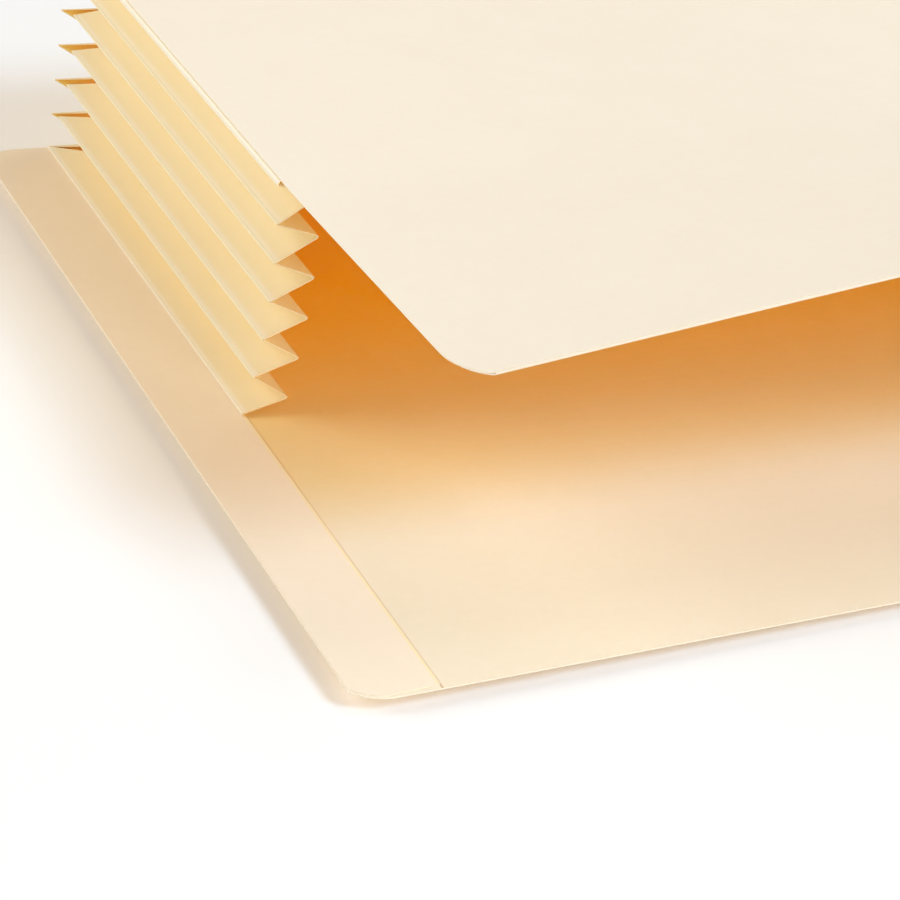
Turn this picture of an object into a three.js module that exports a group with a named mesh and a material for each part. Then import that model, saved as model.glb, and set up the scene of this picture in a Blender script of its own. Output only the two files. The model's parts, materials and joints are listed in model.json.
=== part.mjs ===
// Expanding file pocket with an end tab, lying on its back panel.
// Units are millimetres. +Z is up, the mouth looks towards -Y and the end tab is on the -X side.
// The origin is on the surface the pocket lies on, below the middle of the back panel.

import * as THREE from "three";

// Panels
const inch = 25.4;
const backWidth = 12.25 * inch;
const backDepth = 9.5 * inch;
const tabWidth = 0.75 * inch;
const boardThickness = 0.35;
const cornerRadius = 0.5 * inch;
const cornerCutAtTabFold = 3.0;
const cornerCutAtHemFold = 1.3;
const tabFlapOverlap = 0.86;
const frontSetback = 15.4;
const frontSideInset = 0.87;
const hemWidth = 0.5 * inch;
const hemEndInset = 2.2;

// Gusset: one pleated strip round three sides
const pleatCount = 6;
const faceWidth = 0.4375 * inch;
const gussetPaper = 0.3;
const foldClearance = 0.3;
const gussetSetback = 103.5;
const gussetEdgeMargin = 0.6;
const flangeWidth = 11.0;

// How far the pocket stands open in this pose
const pleatPitch = 10.22;
const sideBowIn = 2.7;

// The front panel bows up at the mouth
const mouthBow = 17.3;
const mouthLipRise = 0.036;
const bowCrownSoftness = 0.12;
const bowStartBlend = 2;
const lipRiseBlend = 6;

// Running clearances at the folds
const creaseClearance = 0.2;
const mitreClearance = 0.15;
const creaseDepth = 0.35;
const widestOpening = 1.42;

// Smoothness
const cornerSteps = 9;
const panelColumns = 26;
const panelRows = 14;
const creaseSteps = 6;

// Colours of the paper stocks
const paper = {
  board: { color: 0xf3e2c6, roughness: 0.82 },
  gusset: { color: 0xf1d9a4, roughness: 0.85 },
  crease: { color: 0xf6e6bf, roughness: 0.85 },
};

// Values worked out from the sizes above
const foldSpacing = gussetPaper + foldClearance;
const closedPitch = 2 * foldSpacing;
const pitchRise = pleatPitch - closedPitch;
const creaseHalfHeight = foldSpacing - foldClearance / 2;
const creaseBackToHinge = gussetPaper / 2 + creaseClearance;
const faceLength = faceWidth - creaseBackToHinge;
const lowestCrease = 2 * boardThickness + creaseHalfHeight;
const highestCrease = lowestCrease + pleatCount * pleatPitch;
const frontUnderside = highestCrease + creaseHalfHeight;
const leftEdge = -backWidth / 2;
const rightEdge = backWidth / 2;
const nearEdge = -backDepth / 2;
const farEdge = backDepth / 2;
const leftFold = leftEdge + tabWidth;
const rightFold = rightEdge - gussetEdgeMargin;
const farFold = farEdge - gussetEdgeMargin;
const gussetNear = nearEdge + gussetSetback;
const frontNear = nearEdge + frontSetback;
const frontLeft = leftFold + frontSideInset;
const frontRight = rightFold - frontSideInset;

function paperMaterial(stock) {
  return new THREE.MeshStandardMaterial({ ...paper[stock], metalness: 0 });
}

function namedMesh(name, geometry, stock) {
  const mesh = new THREE.Mesh(geometry, paperMaterial(stock));
  mesh.name = name;
  return mesh;
}

function solidFrom(points, triangles) {
  const geometry = new THREE.BufferGeometry();
  geometry.setAttribute("position", new THREE.Float32BufferAttribute(points.flat(), 3));
  geometry.setIndex(triangles.flat());
  geometry.computeVertexNormals();
  return geometry;
}

// A closed strip with the same section all along Y. startAt and endAt give where each end is cut,
// as a function of the section's X, so that an end can be square or mitred. The section is a
// list of [x, z] points, anticlockwise when seen from the start of the strip.
function foldedStrip(section, startAt, endAt) {
  const count = section.length;
  const outline = section.map(([x, z]) => new THREE.Vector2(x, z));
  const caps = THREE.ShapeUtils.triangulateShape(outline, []);
  const start = section.map(([x, z]) => [x, startAt(x), z]);
  const end = section.map(([x, z]) => [x, endAt(x), z]);
  const triangles = [];
  for (const [a, b, c] of caps) {
    triangles.push([a, b, c], [a + count, c + count, b + count]);
  }
  for (let i = 0; i < count; i += 1) {
    const next = (i + 1) % count;
    triangles.push([i, i + count, next + count], [i, next + count, next]);
  }
  return solidFrom([...start, ...end], triangles);
}

// A closed sheet. Columns are places along X, and each row gives its Y for a column's X, from
// near to far. The two height functions give the underside and the top.
function sheetSolid(columns, rowsAt, undersideAt, topAt) {
  const rows = rowsAt.length;
  const points = [];
  const triangles = [];
  const perLayer = columns.length * rows;
  const at = (layer, i, j) => layer * perLayer + i * rows + j;
  for (const heightAt of [undersideAt, topAt]) {
    for (const x of columns) {
      rowsAt.forEach((rowAt) => points.push([x, rowAt(x), heightAt(x, rowAt(x))]));
    }
  }
  const quad = (a, b, c, d) => triangles.push([a, b, c], [a, c, d]);
  for (let i = 0; i < columns.length - 1; i += 1) {
    for (let j = 0; j < rows - 1; j += 1) {
      quad(at(0, i, j), at(0, i, j + 1), at(0, i + 1, j + 1), at(0, i + 1, j));
      quad(at(1, i, j), at(1, i + 1, j), at(1, i + 1, j + 1), at(1, i, j + 1));
    }
    const last = rows - 1;
    quad(at(0, i, 0), at(0, i + 1, 0), at(1, i + 1, 0), at(1, i, 0));
    quad(at(0, i + 1, last), at(0, i, last), at(1, i, last), at(1, i + 1, last));
  }
  for (let j = 0; j < rows - 1; j += 1) {
    const last = columns.length - 1;
    quad(at(0, 0, j + 1), at(0, 0, j), at(1, 0, j), at(1, 0, j + 1));
    quad(at(0, last, j), at(0, last, j + 1), at(1, last, j + 1), at(1, last, j));
  }
  return solidFrom(points, triangles);
}

// How far a rounded corner of radius cornerRadius stands back from the straight edge,
// at a distance from the end of that edge. endCut is the part of the round that a fold cuts off.
function cornerRound(distance, endCut) {
  const across = cornerRadius - endCut - distance;
  return across > 0 ? cornerRadius - Math.sqrt(cornerRadius ** 2 - across ** 2) : 0;
}

// Column places that are close together on the rounded corners and even between them.
function panelColumnsBetween(left, right, leftCut, rightCut, middleColumns) {
  const columns = [];
  const rounding = (cut) => {
    const startAngle = Math.acos((cornerRadius - cut) / cornerRadius);
    const places = [];
    for (let i = 0; i < cornerSteps; i += 1) {
      const angle = THREE.MathUtils.lerp(startAngle, Math.PI / 2, i / cornerSteps);
      places.push(cornerRadius - cut - cornerRadius * Math.cos(angle));
    }
    return places;
  };
  const first = left + cornerRadius - leftCut;
  const last = right - cornerRadius + rightCut;
  rounding(leftCut).forEach((place) => columns.push(left + place));
  for (let i = 0; i <= middleColumns; i += 1) {
    columns.push(THREE.MathUtils.lerp(first, last, i / middleColumns));
  }
  rounding(rightCut).reverse().forEach((place) => columns.push(right - place));
  return columns;
}

// The back panel. Its left edge is folded over on to itself as a reinforced end tab:
// two layers of board that end just inside the fold line of the gusset. The corners of the
// tab and of the mouth are rounded, and the far right corner is square, as the gusset is.
// The panel is built up of rings of points, one ring for each place along X.
function backPanel() {
  const ringPoints = 6;
  const flapEdge = leftFold + tabFlapOverlap;
  const columns = panelColumnsBetween(leftEdge, rightEdge, cornerCutAtTabFold, 0, panelColumns);
  const single = columns.filter((x) => x > flapEdge);
  const double = columns.filter((x) => x < flapEdge);
  const tabRound = (x) => cornerRound(x - leftEdge, cornerCutAtTabFold);
  const points = [];
  const triangles = [];
  const addRing = (x, top) => {
    const near = nearEdge + tabRound(x) + cornerRound(rightEdge - x, 0);
    const far = farEdge - tabRound(x);
    points.push([x, near, 0], [x, far, 0], [x, far, boardThickness], [x, far, top]);
    points.push([x, near, top], [x, near, boardThickness]);
  };
  const quad = (a, b, c, d) => triangles.push([a, b, c], [a, c, d]);
  const joinRings = (first, sides) => {
    const next = first + ringPoints;
    sides.forEach(([p, q]) => quad(first + p, first + q, next + q, next + p));
  };
  const doubleSides = [[0, 1], [1, 2], [2, 3], [3, 4], [4, 5], [5, 0]];
  const singleSides = [[0, 1], [1, 2], [3, 4], [5, 0]];
  [...double, flapEdge].forEach((x, i) => {
    addRing(x, 2 * boardThickness);
    if (i > 0) joinRings((i - 1) * ringPoints, doubleSides);
  });
  const step = double.length * ringPoints;
  quad(step + 5, step + 2, step + 3, step + 4);
  [flapEdge, ...single].forEach((x, i) => {
    addRing(x, boardThickness);
    if (i > 0) joinRings(points.length - 2 * ringPoints, singleSides);
  });
  const end = points.length - ringPoints;
  quad(0, 4, 3, 1);
  triangles.push([0, 5, 4], [1, 3, 2]);
  quad(end, end + 1, end + 3, end + 4);
  return namedMesh("back_panel", solidFrom(points, triangles), "board");
}

// A ramp that sets in softly: almost nothing at first, then in step with the distance.
function softRamp(distance, blend) {
  const past = Math.max(distance, 0);
  return past ** 2 / (past + blend);
}

// Height that the front panel stands above its flat plane: a soft tent that grows towards the
// mouth, and a slight rise of the whole lip in front of the gusset. At the mouth the tent starts
// from the side edge of the panel, and beside the gusset from the inner edge of the flange.
function frontBow(x, y) {
  const middle = (leftFold + rightFold) / 2;
  const besideFlange = THREE.MathUtils.clamp((y - frontNear) / (gussetNear - frontNear), 0, 1);
  const halfSpan = (rightFold - leftFold) / 2 - flangeWidth * besideFlange;
  const inward = softRamp(halfSpan - Math.abs(x - middle), bowStartBlend);
  const across = 1 - inward / softRamp(halfSpan, bowStartBlend);
  const soft = bowCrownSoftness;
  const tent = 1 - (Math.hypot(across, soft) - soft) / (Math.hypot(1, soft) - soft);
  const towardsMouth = (farEdge - y) / (farEdge - frontNear);
  return mouthBow * tent * towardsMouth ** 2 + mouthLipRise * softRamp(gussetNear - y, lipRiseBlend);
}

function frontNearAt(x) {
  const left = cornerRound(x - frontLeft, 0);
  const right = cornerRound(frontRight - x, 0);
  return frontNear + Math.max(Math.max(left, right) - cornerCutAtHemFold, 0);
}

// The front panel and its hem share these columns and the row at the hem's inner edge,
// so that their faceted surfaces lie flat on each other.
function frontColumns() {
  const hemEnds = [frontLeft + hemEndInset, frontRight - hemEndInset];
  const columns = panelColumnsBetween(frontLeft, frontRight, 0, 0, panelColumns);
  return [...columns, ...hemEnds].sort((a, b) => a - b);
}

function frontUndersideAt(x, y) {
  return frontUnderside + frontBow(x, y);
}

function frontPanel() {
  const rowsAt = [frontNearAt];
  for (let j = 0; j < panelRows; j += 1) {
    const y = THREE.MathUtils.lerp(frontNear + hemWidth, farEdge, j / (panelRows - 1));
    rowsAt.push(() => y);
  }
  const top = (x, y) => frontUndersideAt(x, y) + boardThickness;
  return namedMesh("front_panel", sheetSolid(frontColumns(), rowsAt, frontUndersideAt, top), "board");
}

// The opening edge of the front panel is folded under itself as a flat hem.
function frontHem() {
  const left = frontLeft + hemEndInset;
  const right = frontRight - hemEndInset;
  const columns = frontColumns().filter((x) => x >= left && x <= right);
  const rowsAt = [frontNearAt, () => frontNear + hemWidth];
  const underside = (x, y) => frontUndersideAt(x, y) - boardThickness;
  return namedMesh("front_hem", sheetSolid(columns, rowsAt, underside, frontUndersideAt), "board");
}

// Rest angles of the lower and upper face of a pleat whose upper crease stands
// bowStep further in than its lower crease.
function pleatAngles(bowStep) {
  const turn = Math.atan2(bowStep, pitchRise);
  const mean = Math.asin(pitchRise / (2 * faceLength * Math.cos(turn)));
  return { lower: mean - turn, upper: mean + turn };
}

// The creases of a side gusset bow inwards half way up. The bow is a parabola.
function bowAt(level, bow) {
  const middle = pleatCount / 2;
  return bow * (1 - ((level - middle) / middle) ** 2);
}

// The outer fold of a pleat: a slim rounded back that both of its faces fold on.
function creaseSection() {
  const section = [];
  for (let i = 0; i <= creaseSteps; i += 1) {
    const angle = Math.PI / 2 + (Math.PI * i) / creaseSteps;
    section.push([creaseDepth * Math.cos(angle), creaseHalfHeight * Math.sin(angle)]);
  }
  return section;
}

// A flange is glued flat to a panel and ends in the first, or the last, outer fold.
function flangeSection(upward) {
  const near = creaseHalfHeight;
  const paperTop = gussetPaper - creaseHalfHeight;
  const lower = [[0, near], ...creaseSection().slice(1, -1), [0, -near], [flangeWidth, -near],
    [flangeWidth, paperTop], [0, paperTop]];
  return upward ? lower : lower.map(([x, z]) => [x, -z]).reverse();
}

// A face is a flat strip from its hinge line to the inner fold. The paper is half
// rounded at the inner fold, where it would run over into the next face.
function faceSection() {
  const half = gussetPaper / 2;
  const section = [[0, half], [0, -half], [faceLength - half, -half]];
  for (let i = 1; i < creaseSteps; i += 1) {
    const angle = -Math.PI / 2 + (Math.PI * i) / creaseSteps;
    section.push([faceLength - half + half * Math.cos(angle), half * Math.sin(angle)]);
  }
  section.push([faceLength - half, half]);
  return section;
}

// One side of the gusset in its own frame: it runs along +Y from 0 to its length and its
// pleats open towards +X. A mitred end is cut at 45 degrees for the side round the corner.
function gussetSide(side, length, bow, mitredStart, mitredEnd) {
  const group = new THREE.Group();
  const cutBack = (level) => mitreClearance + widestOpening * bowAt(level, bow);
  const startFor = (level) => (x) => (mitredStart ? cutBack(level) + Math.max(x, 0) : 0);
  const endFor = (level) => (x) => length - (mitredEnd ? cutBack(level) + Math.max(x, 0) : 0);
  const flangeStart = mitredStart ? startFor(0) : (x) => Math.max(x, 0);
  const flangeEnd = mitredEnd ? endFor(0) : (x) => length - Math.max(x, 0);
  const add = (name, section, start, end, stock, x, z, turn) => {
    const mesh = namedMesh(`${side}_${name}`, foldedStrip(section, start, end), stock);
    mesh.position.set(x, 0, z);
    mesh.rotation.y = turn;
    group.add(mesh);
  };
  const hinged = (cut) => (x) => cut(x + creaseBackToHinge);

  add("lower_flange", flangeSection(true), flangeStart, flangeEnd, "gusset", 0, lowestCrease, 0);
  add("upper_flange", flangeSection(false), flangeStart, flangeEnd, "gusset", 0, highestCrease, 0);
  for (let level = 1; level < pleatCount; level += 1) {
    const z = lowestCrease + level * pleatPitch;
    const [start, end] = [startFor(level), endFor(level)];
    add(`crease_${level}`, creaseSection(), start, end, "crease", bowAt(level, bow), z, 0);
  }
  for (let level = 0; level < pleatCount; level += 1) {
    const lowIn = bowAt(level, bow);
    const highIn = bowAt(level + 1, bow);
    const angles = pleatAngles(highIn - lowIn);
    const number = String(2 * level + 1).padStart(2, "0");
    const nextNumber = String(2 * level + 2).padStart(2, "0");
    const lowZ = lowestCrease + level * pleatPitch + foldSpacing / 2;
    const highZ = lowestCrease + (level + 1) * pleatPitch - foldSpacing / 2;
    const hingeIn = creaseBackToHinge;
    add(`face_${number}`, faceSection(), hinged(startFor(level)), hinged(endFor(level)),
      "gusset", lowIn + hingeIn, lowZ, -angles.lower);
    add(`face_${nextNumber}`, faceSection(), hinged(startFor(level + 1)), hinged(endFor(level + 1)),
      "gusset", highIn + hingeIn, highZ, angles.upper);
  }
  return group;
}

function placed(group, x, y, turn) {
  group.position.set(x, y, 0);
  group.rotation.z = turn;
  return group;
}

const pocket = new THREE.Group();
const sideLength = farFold - gussetNear;
const bottomLength = rightFold - leftFold;
pocket.add(backPanel(), frontPanel(), frontHem());
pocket.add(placed(gussetSide("left", sideLength, sideBowIn, false, true), leftFold, gussetNear, 0));
pocket.add(placed(gussetSide("bottom", bottomLength, 0, true, true), leftFold, farFold, -Math.PI / 2));
pocket.add(placed(gussetSide("right", sideLength, sideBowIn, true, false), rightFold, farFold, Math.PI));

export default pocket;
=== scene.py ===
# %% [markdown]
# # An expanding file pocket in manila
# The pocket is two sheets of manila board joined on three sides by one pleated paper gusset.
# It lies on its back panel with the mouth half open. The working model gives every piece its
# place, so this lesson only dresses it: each sheet is drawn as a section, drawn out along its
# fold, trimmed and given the thickness of its paper.

# %% Load the working model
import json
import math

import bmesh
import bpy
from mathutils import Matrix, Vector


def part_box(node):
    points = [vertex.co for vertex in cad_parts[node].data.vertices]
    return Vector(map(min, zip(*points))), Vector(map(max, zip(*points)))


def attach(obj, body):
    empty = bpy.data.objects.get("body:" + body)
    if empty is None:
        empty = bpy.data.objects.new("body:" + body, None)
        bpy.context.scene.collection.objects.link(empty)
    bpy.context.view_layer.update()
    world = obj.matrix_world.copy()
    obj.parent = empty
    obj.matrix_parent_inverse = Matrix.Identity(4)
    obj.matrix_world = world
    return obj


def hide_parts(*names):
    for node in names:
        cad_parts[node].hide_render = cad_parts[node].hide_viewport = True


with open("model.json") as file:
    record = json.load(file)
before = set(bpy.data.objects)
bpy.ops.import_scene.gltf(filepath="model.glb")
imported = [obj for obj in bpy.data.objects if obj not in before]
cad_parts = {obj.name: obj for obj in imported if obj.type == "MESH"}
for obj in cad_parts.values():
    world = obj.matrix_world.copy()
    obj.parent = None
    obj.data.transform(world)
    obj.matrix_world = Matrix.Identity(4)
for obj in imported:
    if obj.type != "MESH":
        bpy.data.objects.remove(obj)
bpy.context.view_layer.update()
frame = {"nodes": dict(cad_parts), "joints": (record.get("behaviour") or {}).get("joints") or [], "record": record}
print("pieces in the working model:", len(frame["nodes"]))

# %% [markdown]
# ## Paper sizes
# Manila board is about a third of a millimetre thick and gusset paper a little thinner. A
# folded sheet can't turn on a sharp line: the outside of each fold is a small round nose.
# The folds' places could be typed in again, but they are read from the model's own boxes, so
# the dressed piece can't drift from the one that moves.

# %% Sizes of the stock and places of the folds
MM = 0.001
BOARD = 0.35 * MM
PAPER = 0.30 * MM
NOSE = 0.35 * MM  # how far a gusset fold stands out past its fold line

left_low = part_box("left_lower_flange")[0]
fold_left = left_low.x + NOSE
fold_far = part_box("bottom_lower_flange")[1].y - NOSE
fold_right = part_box("right_lower_flange")[1].x - NOSE
gusset_near = left_low.y
back_low, back_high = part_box("back_panel")
print("fold lines at x", round(fold_left, 4), round(fold_right, 4), "and y", round(fold_far, 4))

# %% [markdown]
# ## Colours and nodes
# A colour judged by eye on a screen isn't the number that a shader works with, so one helper
# turns it into linear light. Nodes could be added, set and linked one line at a time. Here a
# helper takes each input as a number, a colour or the output of another node, so that a
# network reads from its first node to its last.


# %% Helpers for colours and nodes
def from_screen(red, green, blue):
    """A colour as it is seen on the sheet, 0 to 255, in the linear values that nodes take. The
    numbers are those of the standard curve for screens."""
    linear = []
    for level in (red, green, blue):
        part = level / 255
        linear.append(part / 12.92 if part <= 0.04045 else ((part + 0.055) / 1.055) ** 2.4)
    return (*linear, 1.0)


def add_node(tree, kind, values=None, **settings):
    """Adds a node, makes its settings, and gives its inputs a value or a link each."""
    node = tree.nodes.new(kind)
    for key, setting in settings.items():
        setattr(node, key, setting)
    for key, value in (values or {}).items():
        if isinstance(value, bpy.types.NodeSocket):
            tree.links.new(value, node.inputs[key])
        else:
            node.inputs[key].default_value = value
    return node


def calculated(tree, operation, *terms):
    return add_node(tree, "ShaderNodeMath", dict(enumerate(terms)), operation=operation).outputs[0]


def mixed_value(tree, share, first, second):
    """The Mix node takes two numbers at its third and fourth input."""
    mix = add_node(tree, "ShaderNodeMix", {0: share, 2: first, 3: second}, data_type="FLOAT")
    return mix.outputs[0]


def mixed_color(tree, share, first, second):
    """The same node takes two colours at its seventh and eighth input, and its third output is
    the mixed colour."""
    mix = add_node(tree, "ShaderNodeMix", {0: share, 6: first, 7: second}, data_type="RGBA")
    return mix.outputs[2]


print("the front panel's colour in linear light:", from_screen(248, 237, 218))

# %% [markdown]
# ## The pulp of the paper
# Manila is never one colour. It has soft clouds from the pulp, small flecks, a fine tooth and
# long fibres. Every sheet here shows that. Each material could hold its own noise nodes, but
# one node group, with its strength as an input, keeps them all alike. A darker cloud is a
# little stronger in colour too, as it is in real pulp.

# %% Empty group for the pulp
COLOR, VALUE = "NodeSocketColor", "NodeSocketFloat"


def new_group(name, inputs, outputs):
    """Makes an empty group and returns it with the nodes that hold its inputs and outputs."""
    group = bpy.data.node_groups.new(name, "ShaderNodeTree")
    for label, kind, value in inputs:
        socket = group.interface.new_socket(label, in_out="INPUT", socket_type=kind)
        socket.default_value = value
    for label, kind in outputs:
        group.interface.new_socket(label, in_out="OUTPUT", socket_type=kind)
    return group, group.nodes.new("NodeGroupInput"), group.nodes.new("NodeGroupOutput")


def input_names(group):
    return [item.name for item in group.interface.items_tree if item.in_out == "INPUT"]


manila_pulp, pulp_in, pulp_out = new_group(
    "manila_pulp",
    [("Color", COLOR, (0.9, 0.8, 0.6, 1)), ("Clouds", VALUE, 0.5), ("Tooth", VALUE, 0.5),
     ("Roughness", VALUE, 0.85)],
    [("Color", COLOR), ("Roughness", VALUE), ("Height", VALUE)])
print("pulp inputs:", input_names(manila_pulp))

# %% Clouds, flecks and fibres in the pulp's colour
CLOUDS_PER_METRE = 55
FLECKS_PER_METRE = 420
FIBRES_PER_METRE = (260, 1500, 600)  # the fibres are long along X
FLECK_SHARE = 0.45
FIBRE_SHARE = 0.25
CLOUD_WARMTH = 3.0  # how much more a cloud changes the colour's strength than its brightness


def object_place(tree):
    return add_node(tree, "ShaderNodeTexCoord").outputs["Object"]


def noise(tree, place, scale, detail, roughness=0.55):
    values = {"Vector": place, "Scale": scale, "Detail": detail, "Roughness": roughness}
    return add_node(tree, "ShaderNodeTexNoise", values).outputs["Fac"]


on_sheet = object_place(manila_pulp)
along_fibres = add_node(manila_pulp, "ShaderNodeMapping",
                        {"Vector": on_sheet, "Scale": FIBRES_PER_METRE}).outputs["Vector"]
clouds = noise(manila_pulp, on_sheet, CLOUDS_PER_METRE, detail=4)
flecks = noise(manila_pulp, on_sheet, FLECKS_PER_METRE, detail=3, roughness=0.65)
fibres = noise(manila_pulp, along_fibres, 1.0, detail=2)

pattern = mixed_value(manila_pulp, FLECK_SHARE, clouds, flecks)
pattern = mixed_value(manila_pulp, FIBRE_SHARE, pattern, fibres)
swing = calculated(manila_pulp, "SUBTRACT", pattern, 0.5)
amount = calculated(manila_pulp, "MULTIPLY", swing, pulp_in.outputs["Clouds"])
tint = add_node(manila_pulp, "ShaderNodeHueSaturation", {
    "Color": pulp_in.outputs["Color"],
    "Value": calculated(manila_pulp, "ADD", amount, 1.0),
    "Saturation": calculated(manila_pulp, "MULTIPLY_ADD", amount, -CLOUD_WARMTH, 1.0)})
manila_pulp.links.new(tint.outputs["Color"], pulp_out.inputs["Color"])
print("a cloud is about", round(1 / CLOUDS_PER_METRE / MM), "mm across")

# %% Tooth and roughness of the pulp
TOOTH_PER_METRE = 2600
FIBRES_IN_TOOTH = 0.4
ROUGHNESS_SWING = 0.15

tooth = noise(manila_pulp, on_sheet, TOOTH_PER_METRE, detail=2)
relief = mixed_value(manila_pulp, FIBRES_IN_TOOTH, tooth, fibres)
height = calculated(manila_pulp, "MULTIPLY", relief, pulp_in.outputs["Tooth"])
rough = calculated(manila_pulp, "MULTIPLY_ADD", swing, ROUGHNESS_SWING,
                   pulp_in.outputs["Roughness"])
manila_pulp.links.new(height, pulp_out.inputs["Height"])
manila_pulp.links.new(rough, pulp_out.inputs["Roughness"])
print("a grain of tooth is about", round(1 / TOOTH_PER_METRE / MM, 1), "mm across")

# %% [markdown]
# ## Painted shade deep in the pocket
# Deep in the pocket the light has crossed from sheet to sheet many times. Each pass warms it,
# from cream through tan to orange. Bounced light alone gives too little of that here, so a
# second group paints that shade and warmth into the colour of the inner faces with their
# distance from the mouth.


# %% Group that paints shade and warmth on the inner faces with their depth
def depth_group():
    group, source, target = new_group(
        "painted_depth_shade",
        [("Mouth Color", COLOR, (0.9, 0.8, 0.6, 1)), ("Shade Color", COLOR, (0.8, 0.5, 0.25, 1)),
         ("Deep Color", COLOR, (0.7, 0.2, 0.02, 1)), ("Mouth", VALUE, -0.07),
         ("Middle", VALUE, -0.04), ("Bottom", VALUE, 0.03)],
        [("Color", COLOR)])
    split = add_node(group, "ShaderNodeSeparateXYZ", {"Vector": object_place(group)})

    def share(start, end):
        reach = add_node(group, "ShaderNodeMapRange",
                         {"Value": split.outputs["Y"], "From Min": source.outputs[start],
                          "From Max": source.outputs[end]}, interpolation_type="SMOOTHSTEP")
        return reach.outputs["Result"]

    shaded = mixed_color(group, share("Mouth", "Middle"), source.outputs["Mouth Color"],
                         source.outputs["Shade Color"])
    deep = mixed_color(group, share("Middle", "Bottom"), shaded, source.outputs["Deep Color"])
    group.links.new(deep, target.inputs["Color"])
    return group


painted_depth_shade = depth_group()
print("depth inputs:", input_names(painted_depth_shade))

# %% [markdown]
# ## Painted highlights at the folds and the tab's seam
# A pale band, a painted highlight, runs along the outside of each outer fold of the gusset over
# a millimetre or so. The tab's flap ends in a fine line: a painted highlight along its cut edge
# with a painted shadow beside it. Narrow strips of mesh with a finish of their own would end in
# hard lines. Both are soft bands across a sheet, so one group draws them in the finish instead.
# Each gusset sheet carries its distance from the outer fold, in millimetres, as an attribute, and the seam follows
# the place along X.


# %% Group that tints a band
def band_group():
    group, source, target = new_group(
        "tinted_band",
        [("Color", COLOR, (0.9, 0.8, 0.6, 1)), ("Band Color", COLOR, (1, 1, 1, 1)),
         ("Place", VALUE, 0.0), ("Middle", VALUE, 0.0), ("Reach", VALUE, 1.0),
         ("Strength", VALUE, 1.0)],
        [("Color", COLOR)])
    away = calculated(group, "SUBTRACT", source.outputs["Place"], source.outputs["Middle"])
    fade = add_node(group, "ShaderNodeMapRange",
                    {"Value": calculated(group, "ABSOLUTE", away), "To Min": 1.0, "To Max": 0.0,
                     "From Max": source.outputs["Reach"]}, interpolation_type="SMOOTHSTEP")
    share = calculated(group, "MULTIPLY", fade.outputs["Result"], source.outputs["Strength"])
    banded = mixed_color(group, share, source.outputs["Color"], source.outputs["Band Color"])
    group.links.new(banded, target.inputs["Color"])
    return group


tinted_band = band_group()
print("band inputs:", input_names(tinted_band))

# %% [markdown]
# ## Finishes
# Uncoated stock has almost no gloss, so each finish is a rough Principled shader with very low
# specular. One finish for the whole pocket would look like plastic. Instead a sheet has three:
# its outer face, its inner face, and its cut edge, where the fibres stand open.

# %% A paper finish from the three groups
PAPER_GLOSS = 0.12
PAPER_TOOTH = 1.0
TOOTH_HEIGHT = 0.02 * MM
TOOTH_STRENGTH = 0.25
# Past the mouth the inner faces take a painted shade, warmer and darker with depth
MOUTH_DEPTH = back_low.y + 45 * MM  # an inner face has its own colour up to here
SHADE_DEPTH = back_low.y + 82 * MM  # its shade colour here
BOTTOM_DEPTH = back_low.y + 160 * MM  # and its deepest colour from here on


def band_place(tree, along):
    if along == "fold":
        return add_node(tree, "ShaderNodeAttribute", attribute_name="fold_distance").outputs["Fac"]
    return add_node(tree, "ShaderNodeSeparateXYZ", {"Vector": object_place(tree)}).outputs["X"]


def paper_finish(name, color, clouds, shade=None, deep=None, bands=(), along="x"):
    """bands lists the tinted bands as (colour, middle, reach, strength). They are placed along
    the sheet's fold_distance attribute, or along X."""
    material = bpy.data.materials.new(name)
    material.use_nodes = True
    tree = material.node_tree
    if deep is not None:
        color = add_node(tree, "ShaderNodeGroup", {
            "Mouth Color": color, "Shade Color": shade, "Deep Color": deep, "Mouth": MOUTH_DEPTH,
            "Middle": SHADE_DEPTH, "Bottom": BOTTOM_DEPTH}, node_tree=painted_depth_shade).outputs["Color"]
    pulp = add_node(tree, "ShaderNodeGroup", {"Color": color, "Clouds": clouds,
                                              "Tooth": PAPER_TOOTH}, node_tree=manila_pulp)
    tinted = pulp.outputs["Color"]
    place = band_place(tree, along) if bands else None
    for band_color, middle, reach, strength in bands:
        band = add_node(tree, "ShaderNodeGroup", {
            "Color": tinted, "Band Color": band_color, "Place": place, "Middle": middle,
            "Reach": reach, "Strength": strength}, node_tree=tinted_band)
        tinted = band.outputs["Color"]
    bump = add_node(tree, "ShaderNodeBump", {"Strength": TOOTH_STRENGTH, "Distance": TOOTH_HEIGHT,
                                             "Height": pulp.outputs["Height"]})
    shader = tree.nodes["Principled BSDF"]
    shader.inputs["Specular IOR Level"].default_value = PAPER_GLOSS
    tree.links.new(tinted, shader.inputs["Base Color"])
    tree.links.new(pulp.outputs["Roughness"], shader.inputs["Roughness"])
    tree.links.new(bump.outputs["Normal"], shader.inputs["Normal"])
    return material


board_outside = paper_finish("board_outside", from_screen(248, 237, 218), clouds=0.07)
print("nodes in a plain finish:", [node.name for node in board_outside.node_tree.nodes])

# %% Finishes of the board, with a painted highlight and shadow at the tab's flap
flap_edge = fold_left + 0.86 * MM  # where the turned-over flap of the tab ends
# At the flap's seam the board carries a painted highlight on the flap's cut edge and a painted shadow beside it
SEAM_SHADOW = from_screen(200, 152, 92)
FLAP_EDGE_HIGHLIGHT = from_screen(255, 238, 184)
BOARD_PAINTED_SHADES = {"shade": from_screen(247, 224, 172), "deep": from_screen(255, 216, 80)}

# The board's inner faces are painted a little warmer than the outer ones, as bounced light, and take painted shade
# deeper in
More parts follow.
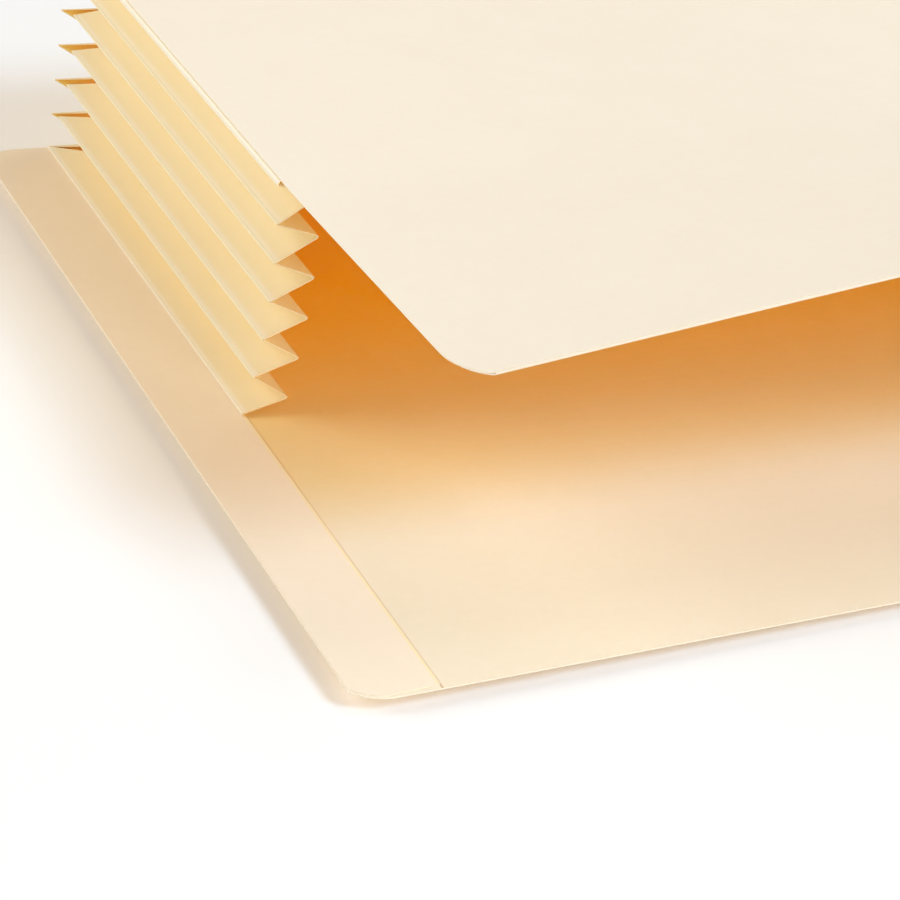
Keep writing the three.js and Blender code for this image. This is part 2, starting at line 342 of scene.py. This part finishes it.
board_inside = paper_finish("board_inside", from_screen(246, 234, 209), clouds=0.08, **BOARD_PAINTED_SHADES)
back_inside = paper_finish("back_inside", from_screen(246, 234, 209), clouds=0.08, **BOARD_PAINTED_SHADES,
                           bands=[(SEAM_SHADOW, flap_edge + 0.1 * MM, 0.4 * MM, 0.7)])
board_turned = paper_finish("board_turned", from_screen(252, 238, 216), clouds=0.07,
                            bands=[(FLAP_EDGE_HIGHLIGHT, flap_edge - 0.45 * MM, 0.5 * MM, 0.9),
                                   (SEAM_SHADOW, flap_edge, 0.12 * MM, 0.8)])
board_edge = paper_finish("board_edge", from_screen(252, 242, 222), clouds=0.10)
board_lip = paper_finish("board_lip", from_screen(242, 230, 207), clouds=0.08)
BOARD_FINISHES = (board_outside, board_inside, board_edge)
HEM_FINISHES = (board_lip, board_inside, board_edge)
TAB_FINISHES = (board_turned, back_inside, board_edge)
print("the flap's seam lies at x", round(flap_edge, 5))

# %% Finishes of the gusset, with a painted highlight at their folds
FOLD_HIGHLIGHT_REACH = 1.7  # in millimetres from the outer fold, as fold_distance is

# The outer face is painted paler along each outer fold, a painted highlight
gusset_outside = paper_finish("gusset_outside", from_screen(250, 236, 198), clouds=0.07,
                              along="fold",
                              bands=[(from_screen(254, 246, 226), 0.0, FOLD_HIGHLIGHT_REACH, 1.0)])
# The gusset's inner faces are painted paler past the mouth, as painted light where little light reaches, and
# orange deepest in, as painted shade
gusset_inside = paper_finish("gusset_inside", from_screen(255, 246, 206), clouds=0.06,
                             shade=from_screen(255, 252, 228), deep=from_screen(255, 236, 160))
gusset_edge = paper_finish("gusset_edge", from_screen(248, 231, 192), clouds=0.10)
# The outside of each fold's nose is painted paler than the pleat faces, a painted highlight that offsets the shade
# on its top
fold_painted_highlight = paper_finish("fold_painted_highlight", from_screen(252, 244, 217), clouds=0.08)
GUSSET_FINISHES = (gusset_outside, gusset_inside, gusset_edge)
FOLD_FINISHES = (fold_painted_highlight, gusset_inside, gusset_edge)
print("gusset finishes:", [finish.name for finish in (*GUSSET_FINISHES, fold_painted_highlight)])

# %% [markdown]
# ## Drawing a folded sheet
# Every piece of the pocket is a flat sheet that is folded along straight lines. It could be
# pushed out of a cube or typed as a list of corners. Here its section is drawn instead, as a
# bookbinder would sketch it: straight runs and round turns in the middle of the paper. The
# section is drawn out along the fold, trimmed with planes and given its thickness last.

# %% Pen that draws a section
TURN_STEPS = 10


def draw_section(bm, start, moves):
    """Draws in the XZ plane with one pen. A move is a line to a place in so many pieces, or a
    turn round a place by so many degrees."""
    pen = bm.verts.new((start[0], 0, start[1]))
    for kind, place, amount in moves:
        place = Vector((place[0], 0, place[1]))
        if kind == "line":
            begin = pen.co.copy()
            for step in range(amount):
                pen = bmesh.ops.extrude_vert_indiv(bm, verts=[pen])["verts"][0]
                pen.co = begin.lerp(place, (step + 1) / amount)
        else:
            turned = bmesh.ops.spin(bm, geom=[pen], cent=place, axis=(0, -1, 0),
                                    angle=math.radians(amount), steps=TURN_STEPS)
            pen = next(part for part in turned["geom_last"] if isinstance(part, bmesh.types.BMVert))


sample = bmesh.new()
draw_section(sample, (0, 0), [("line", (2, 0), 2), ("turn", (2, 1), 180)])
print("a run in two pieces and a half turn make", len(sample.verts), "points")

# %% Drawing the section out and trimming the sheet
ON_PLANE = 1e-7  # metres within which a point counts as lying on a cutting plane


def draw_out(bm, length, pieces):
    grown = bmesh.ops.extrude_edge_only(bm, edges=bm.edges[:])
    ends = [part for part in grown["geom"] if isinstance(part, bmesh.types.BMVert)]
    bmesh.ops.translate(bm, verts=ends, vec=(0, length, 0))
    long_edges = [edge for edge in bm.edges
                  if abs(edge.verts[0].co.y - edge.verts[1].co.y) > length / 2]
    bmesh.ops.subdivide_edges(bm, edges=long_edges, cuts=pieces - 1, use_grid_fill=True)


def trim(bm, point, outward):
    """Cuts off what lies beyond a plane."""
    everything = bm.verts[:] + bm.edges[:] + bm.faces[:]
    bmesh.ops.bisect_plane(bm, geom=everything, dist=ON_PLANE, plane_co=point, plane_no=outward,
                           clear_outer=True)


draw_out(sample, 3, 4)
trim(sample, (1, 0, 0), (-1, 0, 0))
print("drawn out and trimmed, it has", len(sample.faces), "faces")
sample.free()

# %% [markdown]
# ## From a drawn sheet to a finished piece
# Paper is the same thickness all over. Its two sides could be drawn apart, but they would have
# to be kept even round each turn by hand. Instead the sheet is thickened in one go, evenly to
# both sides of the drawn middle. The outer side takes the first finish, the inner side the
# second and the rim the third. Each piece then rides on the body that carries its node.

# %% Thickness, finishes and body
SHARP_FROM = math.radians(40)  # paper's cut edges stay crisp, and its round turns smooth
body_of_node = {node: body for body, nodes in frame["record"]["behaviour"]["bodies"].items()
                for node in nodes}


def face_the_outside(bm, outward):
    """Turns the whole sheet so that its outer side looks the given way at its folds."""
    bmesh.ops.recalc_face_normals(bm, faces=bm.faces[:])
    total = sum((face.normal * face.calc_area() for face in bm.faces), Vector())
    if total.dot(outward) < 0:
        bmesh.ops.reverse_faces(bm, faces=bm.faces[:])


def finished_sheet(bm, name, node, thickness, finishes):
    """Makes the drawn sheet a solid of its paper's thickness, which stands for its node."""
    mesh = bpy.data.meshes.new(name)
    bm.to_mesh(mesh)
    bm.free()
    sheet = bpy.data.objects.new(name, mesh)
    bpy.context.scene.collection.objects.link(sheet)
    for finish in finishes:
        mesh.materials.append(finish)
    shell = sheet.modifiers.new("thickness", "SOLIDIFY")
    shell.thickness = thickness
    shell.offset = 0
    shell.use_even_offset = True
    shell.material_offset = 1
    shell.material_offset_rim = 2
    solid = bpy.data.meshes.new_from_object(sheet.evaluated_get(
        bpy.context.evaluated_depsgraph_get()))
    sheet.modifiers.clear()
    sheet.data = solid
    bpy.data.meshes.remove(mesh)
    solid.name = name
    solid.shade_smooth()
    solid.set_sharp_from_angle(angle=SHARP_FROM)
    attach(sheet, body_of_node[node])
    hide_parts(node)
    return sheet


# %% [markdown]
# ## The back panel and its end tab
# One sheet of board makes both. Its left edge is folded up and over, so the tab is two layers
# thick and the turned-over flap ends in a fine line just inside the gusset. The flap could be a
# second sheet laid on the first, but then the round turn along the tab's edge would be missing,
# so it is drawn with the panel in one section. The corners of the tab and of the mouth are cut
# round by trimming the sheet with a ring of planes. The flap was folded by hand: its near end
# stands back by about a millimetre at its loose edge.

# %% Back panel, folded over as the end tab
CORNER = 12.7 * MM
CORNER_STEPS = 16
TAB_CORNER_LOST = 3.0 * MM  # part of the tab's corner that its fold cuts off
FLAP_SKEW = 0.9 * MM  # how far the flap's near end stands back at its loose edge
FLAP_SHIFT = 0.3 * MM  # and how far all of the flap does
FLAP_LEVEL = 1.5 * BOARD  # middle of the upper layer
FLAP_FROM = 1.4 * BOARD  # only the flap lies higher than this
FLAP_PIECES = 3
BACK_PIECES = 12
BACK_ROWS = 10


def round_corner(bm, centre, from_degrees, to_degrees):
    for step in range(CORNER_STEPS + 1):
        angle = math.radians(from_degrees + (to_degrees - from_degrees) * step / CORNER_STEPS)
        outward = Vector((math.cos(angle), math.sin(angle), 0))
        trim(bm, Vector((*centre, 0)) + CORNER * outward, outward)


def back_sheet():
    bm = bmesh.new()
    turn_at = back_low.x + BOARD
    draw_section(bm, (flap_edge, FLAP_LEVEL), [
        ("line", (turn_at, FLAP_LEVEL), FLAP_PIECES),
        ("turn", (turn_at, BOARD), 180),
        ("line", (back_high.x, BOARD / 2), BACK_PIECES)])
    draw_out(bm, back_high.y - back_low.y, BACK_ROWS)
    bmesh.ops.translate(bm, verts=bm.verts[:], vec=(0, back_low.y, 0))
    for vert in bm.verts:
        if vert.co.z > FLAP_FROM and vert.co.y < back_low.y + MM:
            vert.co.y += FLAP_SKEW * (vert.co.x - turn_at) / (flap_edge - turn_at)
    tab_x = back_low.x - TAB_CORNER_LOST + CORNER
    round_corner(bm, (tab_x, back_low.y + CORNER), 180, 270)
    round_corner(bm, (tab_x, back_high.y - CORNER), 90, 180)
    round_corner(bm, (back_high.x - CORNER, back_low.y + CORNER), 270, 360)
    for vert in bm.verts:
        layer = vert.co.z / BOARD - 0.5
        vert.co.y += FLAP_SHIFT * layer
    face_the_outside(bm, Vector((-1, 0, 0)))
    return finished_sheet(bm, "back_board", "back_panel", BOARD, TAB_FINISHES)


back_board = back_sheet()
print("back board faces:", len(back_board.data.polygons))

# %% [markdown]
# ## The arch of the front panel
# With nothing inside, the board springs up in a soft arch at the mouth: a tent whose crown and
# feet are eased, highest at the lip and gone at the bottom. It could be a simulated sheet. A
# formula gives the same curve each time, and it is the one that the working model uses, laid
# on a finer mesh so that no facet shows.

# %% Rise of the front panel at any place
ARCH = 17.3 * MM
CROWN_SOFTNESS = 0.12
ARCH_BLEND = 2 * MM
LIP_RISE = 0.036  # extra slope of the panel from the gusset's near end to the lip
LIP_BLEND = 6 * MM
FLANGE = 11 * MM

front_low, front_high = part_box("front_panel")
front_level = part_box("left_upper_flange")[1].z


def soft_ramp(distance, blend):
    past = max(distance, 0)
    return past ** 2 / (past + blend)


def arch(x, y):
    half = (fold_right - fold_left) / 2
    beside_flange = min(max((y - front_low.y) / (gusset_near - front_low.y), 0), 1)
    span = half - FLANGE * beside_flange
    inward = soft_ramp(span - abs(x - (fold_left + half)), ARCH_BLEND)
    across = 1 - inward / soft_ramp(span, ARCH_BLEND)
    soft = CROWN_SOFTNESS
    tent = 1 - (math.hypot(across, soft) - soft) / (math.hypot(1, soft) - soft)
    towards_mouth = (back_high.y - y) / (back_high.y - front_low.y)
    return ARCH * tent * towards_mouth ** 2 + LIP_RISE * soft_ramp(gusset_near - y, LIP_BLEND)


crown_rise = arch((fold_left + fold_right) / 2, front_low.y)
print("the lip's crown rises by", round(crown_rise / MM, 1), "mm")

# %% [markdown]
# ## The front panel and its hem
# The front panel's mouth edge is folded under as a flat hem, which keeps the lip from tearing.
# It springs open a little, so a fine dark line shows between its layers. Panel and hem are
# drawn apart, because the working model has them as two nodes, and both are laid on the arch.

# %% Front panel and hem
HEM_CORNER_LOST = 1.3 * MM  # part of each mouth corner that the hem's fold cuts off
HEM_GAP = 0.18 * MM
HEM_INSET = 1.05 * MM  # how far the round of the folded-under hem stands back at its ends
FRONT_COLUMNS = 80
FRONT_ROWS = 60
HEM_ROWS = 4

hem_low, hem_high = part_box("front_hem")
hem_depth = hem_high.y - hem_low.y
hem_turn = BOARD + HEM_GAP / 2
under_level = -BOARD / 2 - HEM_GAP


def arched_sheet(name, node, start, moves, outward, finishes, inset=0.0):
    """Draws a sheet from the mouth edge inwards, arches it and rounds its mouth corners."""
    bm = bmesh.new()
    draw_section(bm, start, moves)
    left, right = (corner.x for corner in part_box(node))
    draw_out(bm, right - left, FRONT_COLUMNS)
    place = (Matrix.Translation((right, front_low.y, front_level))
             @ Matrix.Rotation(math.pi / 2, 4, "Z"))
    bmesh.ops.transform(bm, matrix=place, verts=bm.verts[:])
    centre_y = front_low.y - HEM_CORNER_LOST + CORNER - inset / 2
    round_corner(bm, (front_low.x + CORNER + inset, centre_y), 180, 270)
    round_corner(bm, (front_high.x - CORNER - inset, centre_y), 270, 360)
    for vert in bm.verts:
        vert.co.z += arch(vert.co.x, vert.co.y)
    face_the_outside(bm, outward)
    return finished_sheet(bm, name, node, BOARD, finishes)


front_board = arched_sheet("front_board", "front_panel", (hem_turn, BOARD / 2),
                           [("line", (front_high.y - front_low.y, BOARD / 2), FRONT_ROWS)],
                           Vector((0, 0, 1)), BOARD_FINISHES)
front_hem = arched_sheet("front_hem_fold", "front_hem", (hem_depth, under_level),
                         [("line", (hem_turn, under_level), HEM_ROWS),
                          ("turn", (hem_turn, -HEM_GAP / 2), -180)],
                         Vector((0, -1, 0)), HEM_FINISHES, HEM_INSET)
print("front board and hem faces:", len(front_board.data.polygons), len(front_hem.data.polygons))

# %% [markdown]
# ## The pleated gusset
# One strip of paper is folded back and forth six times and runs round three sides. Each pleat
# has a lower face that climbs inwards from an outer fold and an upper face that comes back out
# to the next. The strip could be one mesh, but the faces swing as the pocket opens, so each
# face is a sheet that turns at its outer fold. The inner fold goes with the lower face. All
# three sides are drawn alike, with X pointing into the pocket and Y along the fold, and are
# then turned into place. At the two side walls the outer folds bow in towards half height.

# %% Places of the three sides
PLEATS = 6
SIDE_TURN = {"left": 0, "bottom": -90, "right": 180}
SIDE_START = {"left": (fold_left, gusset_near), "bottom": (fold_left, fold_far),
              "right": (fold_right, fold_far)}
SIDE_LENGTH = {"left": fold_far - gusset_near, "bottom": fold_right - fold_left,
               "right": fold_far - gusset_near}
MITRED = {"left": (False, True), "bottom": (True, True), "right": (True, False)}


def side_place(side):
    return (Matrix.Translation((*SIDE_START[side], 0))
            @ Matrix.Rotation(math.radians(SIDE_TURN[side]), 4, "Z"))


def local_box(side, node):
    corners = [side_place(side).inverted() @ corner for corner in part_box(node)]
    return (Vector(map(min, *corners)), Vector(map(max, *corners)))


def fold_bow(side, level):
    """How far in the outer fold at this level stands from the lowest one."""
    if level in (0, PLEATS):
        return 0.0
    return local_box(side, f"{side}_crease_{level}")[0].x + NOSE


def fold_heights(side):
    """The heights of a side's outer folds, from the lower flange's to the upper flange's."""
    crease_low, crease_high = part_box(f"{side}_crease_1")
    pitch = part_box(f"{side}_crease_2")[0].z - crease_low.z
    first = (crease_low.z + crease_high.z) / 2 - pitch
    return [first + level * pitch for level in range(PLEATS + 1)]


print("left folds stand in by (mm):",
      [round(fold_bow("left", level) / MM, 2) for level in range(PLEATS)])
print("left folds' heights (mm):", [round(height / MM, 1) for height in fold_heights("left")])

# %% [markdown]
# ## The mitred corners
# Where two sides meet, real paper is tucked into itself. Sheets that swing at a fold can't be
# tucked, so each is cut along the corner's diagonal, like a picture frame. A cut that only fits
# the pose of the photograph would let the sheets run through each other when the pocket shuts
# or opens wide, so each sheet gets two cuts, one for each end of the motion.

# %% Gusset sheets with mitred ends
MITRE_GAP = 0.15 * MM
WIDEST = 1.42  # the widest opening as a share of this one
GUSSET_COLUMNS = 24


def cut_mitre(bm, end, outward, bow, lean):
    """Keeps a sheet on its own side of the corner's diagonal, from shut to widest. The sheet's
    bow and its lean both grow in step with the opening."""
    for opening in (0, WIDEST):
        reach = math.cos(opening * lean) / math.cos(lean)
        trim(bm, (bow, end - outward * (MITRE_GAP + opening * bow), 0), (reach, outward, 0))


def gusset_sheet(side, name, node, start, moves, level, finishes, lean=0.0):
    """Draws a sheet of one side. level counts its outer fold from below, and lean is the angle
    at which it climbs or falls from there. A flange's free end is cut slantwise."""
    bm = bmesh.new()
    draw_section(bm, start, moves)
    length = SIDE_LENGTH[side]
    draw_out(bm, length, GUSSET_COLUMNS)
    bow = fold_bow(side, level)
    for mitred, end, outward in zip(MITRED[side], (0, length), (-1, 1)):
        if mitred:
            cut_mitre(bm, end, outward, bow, lean)
        elif node.endswith("flange"):
            trim(bm, (0, end, 0), (1, outward, 0))
    distance = bm.verts.layers.float.new("fold_distance")
    for vert in bm.verts:
        vert[distance] = (vert.co.x - bow) / MM
    bmesh.ops.transform(bm, matrix=side_place(side), verts=bm.verts[:])
    inward = side_place(side).to_3x3() @ Vector((1, 0, 0))
    face_the_outside(bm, -inward)
    return finished_sheet(bm, name, node, PAPER, finishes)


print("neighbours at a corner keep", round(2 * MITRE_GAP / MM, 2), "mm between them")

# %% [markdown]
# ## Outer folds and flanges
# The back of each outer fold is the part of the gusset that is seen first. A box or a sharp
# ridge would do from far off, but up close paper turns in a round nose and its two layers fan
# apart from there. The glued flange at each end starts with the same nose, with no fan.

# %% Outer folds and flanges of a side
FOLD_GAP = 0.30 * MM  # half the height between the two layers at a gusset fold
HINGE_IN = 0.35 * MM  # from the fold line to the line where a pleat face starts to swing
FAN = math.radians(24)  # each layer leaves the nose at about the slope of the pleat faces
FLANGE_PIECES = 3


def fold_nose(bow, height, fan=0.0):
    """The round turn of an outer fold, from its lower hinge line to its upper one. Both layers
    fan apart by the given angle, so that the pleat faces run on from it without a kink."""
    lean, level = math.sin(fan), math.cos(fan)
    tightest = bow - NOSE + PAPER / 2
    radius = (FOLD_GAP * level - (bow + HINGE_IN - tightest) * lean) / (1 - lean)
    centre = (tightest + radius, height)
    return [("line", (centre[0] - radius * lean, height - radius * level), 1),
            ("turn", centre, math.degrees(2 * fan) - 180),
            ("line", (bow + HINGE_IN, height + FOLD_GAP), 1)]


def make_flanges(side):
    first, *_, last = fold_heights(side)
    base = gusset_sheet(side, f"{side}_base_flange", f"{side}_lower_flange",
                        (FLANGE, first - FOLD_GAP), fold_nose(0, first), 0,
                        GUSSET_FINISHES)
    glued_under_front = ("line", (FLANGE, last + FOLD_GAP), FLANGE_PIECES)
    top = gusset_sheet(side, f"{side}_top_flange", f"{side}_upper_flange",
                       (HINGE_IN, last - FOLD_GAP), [*fold_nose(0, last)[:2], glued_under_front],
                       0, GUSSET_FINISHES)
    return [base, top]


def make_outer_folds(side):
    made = []
    for level, height in enumerate(fold_heights(side)[1:-1], start=1):
        bow = fold_bow(side, level)
        made.append(gusset_sheet(side, f"{side}_outer_fold_{level}", f"{side}_crease_{level}",
                                 (bow + HINGE_IN, height - FOLD_GAP),
                                 fold_nose(bow, height, FAN), level, FOLD_FINISHES))
    return made


print("an outer fold turns through", round(180 - math.degrees(2 * FAN)), "degrees")

# %% [markdown]
# ## Pleat faces and inner folds
# A pleat face is flat and swings at its hinge line, where the outer fold lets go of it. Its far
# end is the inner fold. The real one is a single turn that both faces share, but a sheet can
# ride on one body only, so the lower face carries the round turn and the upper face ends there.

# %% Pleat faces of a side
FACE_PIECES = 2
joints = {joint["name"]: joint for joint in frame["joints"]}


def face_ends(side, number):
    """The hinge line and the inner fold line of a pleat face, in the side's own section."""
    joint = joints[f"{side}_face_{number:02d}_fold"]
    hinge = side_place(side).inverted() @ Vector(joint["pos_m"])
    low, high = local_box(side, f"{side}_face_{number:02d}")
    tip_z = high.z - PAPER / 2 if number % 2 else low.z + PAPER / 2
    return Vector((hinge.x, hinge.z)), Vector((high.x - PAPER / 2, tip_z))


def make_pleats(side):
    """Odd numbers are the lower faces, which carry the turn to the upper face's end."""
    made = []
    for number in range(1, 2 * PLEATS + 1):
        hinge, tip = face_ends(side, number)
        moves = [("line", tip, FACE_PIECES)]
        inner_end = tip
        if number % 2:
            next_hinge, next_tip = face_ends(side, number + 1)
            rise, fall = tip - hinge, next_hinge - next_tip
            turn = math.pi - math.atan2(rise.y, rise.x) - math.atan2(fall.y, -fall.x)
            radius = (next_tip - tip).length / (2 * math.sin(turn / 2))
            centre = tip + radius * Vector((-rise.y, rise.x)).normalized()
            moves.append(("turn", centre, math.degrees(turn)))
            inner_end = next_tip
        lean = math.atan2(abs(inner_end.y - hinge.y), inner_end.x - hinge.x)
        made.append(gusset_sheet(side, f"{side}_pleat_{number:02d}", f"{side}_face_{number:02d}",
                                 hinge, moves, number // 2, GUSSET_FINISHES, lean))
    return made


first_hinge, first_tip = face_ends("left", 1)
flat = first_tip - first_hinge
print("the first pleat face is flat over", round(flat.length / MM, 1), "mm and climbs at",
      round(math.degrees(math.atan2(flat.y, flat.x)), 1), "degrees")

# %% The three sides of the gusset
for side in SIDE_TURN:
    sheets = [*make_flanges(side), *make_outer_folds(side), *make_pleats(side)]
    print(side, "gusset sheets:", len(sheets), "faces:",
          sum(len(sheet.data.polygons) for sheet in sheets))

# %% [markdown]
# ## The floor
# The pocket was photographed on white, a little clear of the surface, which gives it a soft
# shadow all round. A cut-out background would lose that shadow. A white floor in full light
# renders white and keeps it, and farther out the floor fades to plain white for the camera,
# so that it has no far edge.

# %% White floor
CLEARANCE = 4.2 * MM
FLOOR_HALF = 6.0
FADE_FROM = 0.5  # metres from the middle of the floor
FADE_TO = 1.2


def seen_directly(tree):
    """1 for rays from the camera and for those that a mirror or glass sends on, else 0."""
    path = add_node(tree, "ShaderNodeLightPath")
    seen = path.outputs["Is Camera Ray"]
    for kind in ("Is Glossy Ray", "Is Transmission Ray"):
        seen = calculated(tree, "MAXIMUM", seen, path.outputs[kind])
    return seen


def white_floor(name):
    material = bpy.data.materials.new(name)
    material.use_nodes = True
    tree = material.node_tree
    lit = tree.nodes["Principled BSDF"]
    lit.inputs["Base Color"].default_value = (1, 1, 1, 1)
    lit.inputs["Roughness"].default_value = 0.9
    lit.inputs["Specular IOR Level"].default_value = 0.0
    away = add_node(tree, "ShaderNodeVectorMath", {0: object_place(tree)}, operation="LENGTH")
    fade = add_node(tree, "ShaderNodeMapRange",
                    {"Value": away.outputs["Value"], "From Min": FADE_FROM, "From Max": FADE_TO},
                    interpolation_type="SMOOTHSTEP")
    plain = add_node(tree, "ShaderNodeEmission", {"Color": (1, 1, 1, 1), "Strength": 1.0})
    blend = add_node(tree, "ShaderNodeMixShader", {
        0: calculated(tree, "MULTIPLY", seen_directly(tree), fade.outputs["Result"]),
        1: lit.outputs[0], 2: plain.outputs[0]})
    tree.links.new(blend.outputs[0], tree.nodes["Material Output"].inputs["Surface"])
    return material


def flat_stage(name, half_size, height, material):
    bm = bmesh.new()
    bmesh.ops.create_grid(bm, x_segments=1, y_segments=1, size=half_size)
    bmesh.ops.translate(bm, vec=(0, 0, height), verts=bm.verts[:])
    mesh = bpy.data.meshes.new(name)
    bm.to_mesh(mesh)
    bm.free()
    mesh.materials.append(material)
    stage = bpy.data.objects.new(name, mesh)
    bpy.context.scene.collection.objects.link(stage)
    return stage


floor = flat_stage("floor", FLOOR_HALF, -CLEARANCE, white_floor("floor_white"))
print("the floor lies at", round(floor.data.vertices[0].co.z / MM, 1), "mm")

# %% [markdown]
# ## The light
# The studio has four soft boxes: the main one high at the front right, one overhead, a wide one
# at the left that reaches into the pleats, and a low one before the mouth that lights the
# inside. One sun would be simpler, but its shadows are hard and the pleats go black. A warm
# glow from the room fills in, while the camera sees the room as plain white. The light crosses
# the pocket many times before it comes out again, so it is followed for many bounces.

# %% Soft boxes
BOX_DISTANCE = 3.0
AIM_HEIGHT = 30 * MM
middle = Vector(((back_low.x + back_high.x) / 2, (back_low.y + back_high.y) / 2, AIM_HEIGHT))


def soft_box(name, azimuth, elevation, size, share, tint):
    """Azimuth 0 is in front of the mouth, and 90 on the right. share is the part of the light
    on a level sheet that this lamp gives."""
    across, up = math.radians(azimuth), math.radians(elevation)
    direction = Vector((math.sin(across) * math.cos(up), -math.cos(across) * math.cos(up),
                        math.sin(up)))
    light = bpy.data.lights.new(name, "AREA")
    light.shape = "SQUARE"
    light.size = size
    light.color = tint
    light.energy = share * (math.pi * BOX_DISTANCE) ** 2 / math.sin(up)
    lamp = bpy.data.objects.new(name, light)
    bpy.context.scene.collection.objects.link(lamp)
    lamp.matrix_world = (Matrix.Translation(middle + BOX_DISTANCE * direction)
                         @ direction.to_track_quat("Z", "Y").to_matrix().to_4x4())
    return lamp


lamps = [
    soft_box("front_right_box", 36, 47, size=0.95, share=0.295, tint=(0.70, 0.97, 1.26)),
    soft_box("overhead_box", 100, 66, size=1.2, share=0.145, tint=(1.0, 1.0, 1.0)),
    soft_box("left_box", -112, 32, size=1.7, share=0.186, tint=(0.98, 1.0, 0.95)),
    soft_box("mouth_box", 12, 17, size=1.2, share=0.07, tint=(1.12, 0.97, 0.82))]
print("lamps:", {lamp.name: round(lamp.data.energy, 2) for lamp in lamps})

# %% Glow of the room
ROOM_GLOW = (0.437, 0.365, 0.295, 1)

world = bpy.data.worlds.new("room")
bpy.context.scene.world = world
world.use_nodes = True
room = world.node_tree
glow = room.nodes["Background"]
glow.inputs["Color"].default_value = ROOM_GLOW
white = add_node(room, "ShaderNodeBackground", {"Color": (1, 1, 1, 1), "Strength": 1.0})
choice = add_node(room, "ShaderNodeMixShader",
                  {0: seen_directly(room), 1: glow.outputs[0], 2: white.outputs[0]})
room.links.new(choice.outputs[0], room.nodes["World Output"].inputs["Surface"])
bpy.context.scene.cycles.diffuse_bounces = 12
bpy.context.scene.cycles.max_bounces = 16
print("light may bounce", bpy.context.scene.cycles.diffuse_bounces, "times between sheets")

# %% [markdown]
# ## The camera
# The photograph looks down at the mouth from the front left with a long lens, close up, and
# the frame is rolled, so the pocket runs off three sides of it. The camera could be pointed at
# the pocket's middle and shifted by eye. It is placed from the near end of the left gusset
# fold instead, which lies at a known pixel of the frame.

# %% Camera at the photograph's angle
FRAME_SIZE = 900
FOCAL_PIXELS = 2400  # the lens's focal length, in pixels of that frame
SENSOR_WIDTH = 36
CAMERA_AZIMUTH = math.radians(-33.7417)
CAMERA_ELEVATION = math.radians(32.3005)
CAMERA_ROLL = math.radians(11.8953)
CAMERA_DISTANCE = 567.01 * MM
FOLD_END_PIXEL = (242.77, 416.42)  # where the photograph shows the fold's near end
fold_end = Vector((fold_left, gusset_near, 2 * BOARD))

back = Vector((math.sin(CAMERA_AZIMUTH) * math.cos(CAMERA_ELEVATION),
               -math.cos(CAMERA_AZIMUTH) * math.cos(CAMERA_ELEVATION),
               math.sin(CAMERA_ELEVATION)))
level_right = Vector((math.cos(CAMERA_AZIMUTH), math.sin(CAMERA_AZIMUTH), 0))
level_up = back.cross(level_right)
right = level_right * math.cos(CAMERA_ROLL) + level_up * math.sin(CAMERA_ROLL)
up = level_up * math.cos(CAMERA_ROLL) - level_right * math.sin(CAMERA_ROLL)
offset_x, offset_y = ((pixel - FRAME_SIZE / 2) / FOCAL_PIXELS * CAMERA_DISTANCE
                      for pixel in FOLD_END_PIXEL)
lens_data = bpy.data.cameras.new("camera")
lens_data.sensor_width = SENSOR_WIDTH
lens_data.lens = SENSOR_WIDTH * FOCAL_PIXELS / FRAME_SIZE
lens_data.clip_start = 10 * MM
camera = bpy.data.objects.new("camera", lens_data)
bpy.context.scene.collection.objects.link(camera)
turn = Matrix((right, up, back)).transposed().to_4x4()
camera.matrix_world = Matrix.Translation(
    fold_end - offset_x * right + offset_y * up + CAMERA_DISTANCE * back) @ turn
bpy.context.scene.camera = camera
bpy.context.scene.view_settings.view_transform = "Standard"
print("camera at", [round(value, 4) for value in camera.matrix_world.translation])
